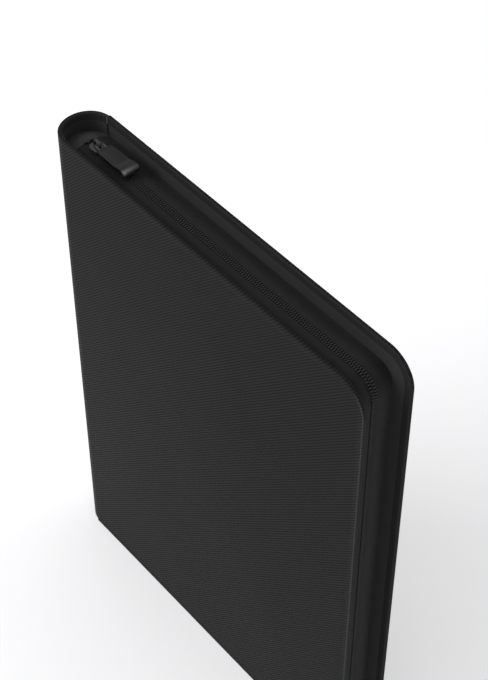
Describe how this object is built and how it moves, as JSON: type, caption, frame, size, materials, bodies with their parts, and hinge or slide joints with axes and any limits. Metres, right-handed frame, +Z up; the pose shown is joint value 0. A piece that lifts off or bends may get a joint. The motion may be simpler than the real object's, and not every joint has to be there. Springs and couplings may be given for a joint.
{
  "type": "trading card binder",
  "caption": "Zip-around binder with stiff ribbed covers, a rounded spine and card pocket pages hinged on a spine binding, closed by a recessed coil zip with a rubber pull.",
  "frame": {"origin": "bottom centre of the closed binder, standing upright on the bottom edges of its covers", "axes": "+Z up along the spine, +X from the spine to the fore edge, -Y out of the front cover, +Y out of the back cover"},
  "size_m": [0.2726, 0.0358, 0.35],
  "materials": {
    "cover_skin": "finely ribbed black synthetic leather, satin",
    "board": "grey board",
    "lining": "black woven lining",
    "zip_tape": "black woven tape",
    "zip_teeth": "black nylon",
    "zip_metal": "black paint, satin",
    "link_metal": "black paint, satin",
    "pull_rubber": "moulded, satin",
    "binding": "soft film",
    "page_film": "clear pocket film on a black sheet"
  },
  "bodies": {
    "back_cover": {"back_skin": "cover_skin", "back_board": "board", "back_lining": "lining", "back_zip_tape": "zip_tape", "back_zip_coil": "zip_teeth", "back_top_stop": "zip_metal"},
    "spine": {"spine_skin": "cover_skin", "spine_board": "board", "spine_lining": "lining", "top_end_gusset": "lining", "bottom_end_gusset": "lining", "page_binding": "binding"},
    "front_cover": {"front_skin": "cover_skin", "front_board": "board", "front_lining": "lining", "front_zip_tape": "zip_tape", "front_zip_coil": "zip_teeth", "front_top_stop": "zip_metal"},
    "slider": {"slider_body": "zip_metal", "slider_crown": "zip_metal"},
    "pull": {"pull_link": "link_metal", "pull_tab": "pull_rubber"},
    "leaf_01": {"page_01": "page_film"},
    "leaf_02": {"page_02": "page_film"},
    "leaf_03": {"page_03": "page_film"},
    "leaf_04": {"page_04": "page_film"},
    "leaf_05": {"page_05": "page_film"},
    "leaf_06": {"page_06": "page_film"},
    "leaf_07": {"page_07": "page_film"},
    "leaf_08": {"page_08": "page_film"},
    "leaf_09": {"page_09": "page_film"},
    "leaf_10": {"page_10": "page_film"},
    "leaf_11": {"page_11": "page_film"},
    "leaf_12": {"page_12": "page_film"},
    "leaf_13": {"page_13": "page_film"},
    "leaf_14": {"page_14": "page_film"},
    "leaf_15": {"page_15": "page_film"},
    "leaf_16": {"page_16": "page_film"},
    "leaf_17": {"page_17": "page_film"},
    "leaf_18": {"page_18": "page_film"},
    "leaf_19": {"page_19": "page_film"},
    "leaf_20": {"page_20": "page_film"}
  },
  "joints": [
    {"name": "spine_fold", "type": "hinge", "parent": "back_cover", "child": "spine", "pos_m": [-0.1207, 0.0171, 0.175], "axis": [0, 0, -1], "range_deg": [0, 90]},
    {"name": "cover_fold", "type": "hinge", "parent": "spine", "child": "front_cover", "pos_m": [-0.1207, -0.0171, 0.175], "axis": [0, 0, -1], "range_deg": [0, 90]},
    {"name": "slider_slide", "type": "slide", "parent": "back_cover", "child": "slider", "axis": [1, 0, 0], "range_m": [0, 0.212]},
    {"name": "pull_swing", "type": "hinge", "parent": "slider", "child": "pull", "pos_m": [-0.1095, 0, 0.34465], "axis": [0, -1, 0], "range_deg": [0, 150]},
    {"name": "leaf_01_turn", "type": "hinge", "parent": "spine", "child": "leaf_01", "pos_m": [-0.1165, -0.0134, 0.175], "axis": [0, 0, -1], "range_deg": [0, 88.05]},
    {"name": "leaf_02_turn", "type": "hinge", "parent": "spine", "child": "leaf_02", "pos_m": [-0.116, -0.01199, 0.175], "axis": [0, 0, -1], "range_deg": [0, 86.45]},
    {"name": "leaf_03_turn", "type": "hinge", "parent": "spine", "child": "leaf_03", "pos_m": [-0.1155, -0.01058, 0.175], "axis": [0, 0, -1], "range_deg": [0, 84.85]},
    {"name": "leaf_04_turn", "type": "hinge", "parent": "spine", "child": "leaf_04", "pos_m": [-0.115, -0.00917, 0.175], "axis": [0, 0, -1], "range_deg": [0, 83.25]},
    {"name": "leaf_05_turn", "type": "hinge", "parent": "spine", "child": "leaf_05", "pos_m": [-0.1145, -0.00776, 0.175], "axis": [0, 0, -1], "range_deg": [0, 81.65]},
    {"name": "leaf_06_turn", "type": "hinge", "parent": "spine", "child": "leaf_06", "pos_m": [-0.114, -0.00635, 0.175], "axis": [0, 0, -1], "range_deg": [0, 80.05]},
    {"name": "leaf_07_turn", "type": "hinge", "parent": "spine", "child": "leaf_07", "pos_m": [-0.1135, -0.00494, 0.175], "axis": [0, 0, -1], "range_deg": [0, 78.45]},
    {"name": "leaf_08_turn", "type": "hinge", "parent": "spine", "child": "leaf_08", "pos_m": [-0.113, -0.00353, 0.175], "axis": [0, 0, -1], "range_deg": [0, 76.85]},
    {"name": "leaf_09_turn", "type": "hinge", "parent": "spine", "child": "leaf_09", "pos_m": [-0.1125, -0.00212, 0.175], "axis": [0, 0, -1], "range_deg": [0, 75.25]},
    {"name": "leaf_10_turn", "type": "hinge", "parent": "spine", "child": "leaf_10", "pos_m": [-0.112, -0.00071, 0.175], "axis": [0, 0, -1], "range_deg": [0, 73.65]},
    {"name": "leaf_11_turn", "type": "hinge", "parent": "spine", "child": "leaf_11", "pos_m": [-0.112, 0.00071, 0.175], "axis": [0, 0, -1], "range_deg": [-73.65, 0]},
    {"name": "leaf_12_turn", "type": "hinge", "parent": "spine", "child": "leaf_12", "pos_m": [-0.1125, 0.00212, 0.175], "axis": [0, 0, -1], "range_deg": [-75.25, 0]},
    {"name": "leaf_13_turn", "type": "hinge", "parent": "spine", "child": "leaf_13", "pos_m": [-0.113, 0.00353, 0.175], "axis": [0, 0, -1], "range_deg": [-76.85, 0]},
    {"name": "leaf_14_turn", "type": "hinge", "parent": "spine", "child": "leaf_14", "pos_m": [-0.1135, 0.00494, 0.175], "axis": [0, 0, -1], "range_deg": [-78.45, 0]},
    {"name": "leaf_15_turn", "type": "hinge", "parent": "spine", "child": "leaf_15", "pos_m": [-0.114, 0.00635, 0.175], "axis": [0, 0, -1], "range_deg": [-80.05, 0]},
    {"name": "leaf_16_turn", "type": "hinge", "parent": "spine", "child": "leaf_16", "pos_m": [-0.1145, 0.00776, 0.175], "axis": [0, 0, -1], "range_deg": [-81.65, 0]},
    {"name": "leaf_17_turn", "type": "hinge", "parent": "spine", "child": "leaf_17", "pos_m": [-0.115, 0.00917, 0.175], "axis": [0, 0, -1], "range_deg": [-83.25, 0]},
    {"name": "leaf_18_turn", "type": "hinge", "parent": "spine", "child": "leaf_18", "pos_m": [-0.1155, 0.01058, 0.175], "axis": [0, 0, -1], "range_deg": [-84.85, 0]},
    {"name": "leaf_19_turn", "type": "hinge", "parent": "spine", "child": "leaf_19", "pos_m": [-0.116, 0.01199, 0.175], "axis": [0, 0, -1], "range_deg": [-86.45, 0]},
    {"name": "leaf_20_turn", "type": "hinge", "parent": "spine", "child": "leaf_20", "pos_m": [-0.1165, 0.0134, 0.175], "axis": [0, 0, -1], "range_deg": [-88.05, 0]}
  ],
  "couplings": [
    {"joint": "cover_fold", "follows": "spine_fold", "ratio": 1},
    {"joint": "leaf_01_turn", "follows": "spine_fold", "ratio": 0.97778},
    {"joint": "leaf_02_turn", "follows": "spine_fold", "ratio": 0.96},
    {"joint": "leaf_03_turn", "follows": "spine_fold", "ratio": 0.94222},
    {"joint": "leaf_04_turn", "follows": "spine_fold", "ratio": 0.92444},
    {"joint": "leaf_05_turn", "follows": "spine_fold", "ratio": 0.90667},
    {"joint": "leaf_06_turn", "follows": "spine_fold", "ratio": 0.88889},
    {"joint": "leaf_07_turn", "follows": "spine_fold", "ratio": 0.87111},
    {"joint": "leaf_08_turn", "follows": "spine_fold", "ratio": 0.85333},
    {"joint": "leaf_09_turn", "follows": "spine_fold", "ratio": 0.83556},
    {"joint": "leaf_10_turn", "follows": "spine_fold", "ratio": 0.81778},
    {"joint": "leaf_11_turn", "follows": "spine_fold", "ratio": -0.81778},
    {"joint": "leaf_12_turn", "follows": "spine_fold", "ratio": -0.83556},
    {"joint": "leaf_13_turn", "follows": "spine_fold", "ratio": -0.85333},
    {"joint": "leaf_14_turn", "follows": "spine_fold", "ratio": -0.87111},
    {"joint": "leaf_15_turn", "follows": "spine_fold", "ratio": -0.88889},
    {"joint": "leaf_16_turn", "follows": "spine_fold", "ratio": -0.90667},
    {"joint": "leaf_17_turn", "follows": "spine_fold", "ratio": -0.92444},
    {"joint": "leaf_18_turn", "follows": "spine_fold", "ratio": -0.94222},
    {"joint": "leaf_19_turn", "follows": "spine_fold", "ratio": -0.96},
    {"joint": "leaf_20_turn", "follows": "spine_fold", "ratio": -0.97778}
  ]
}
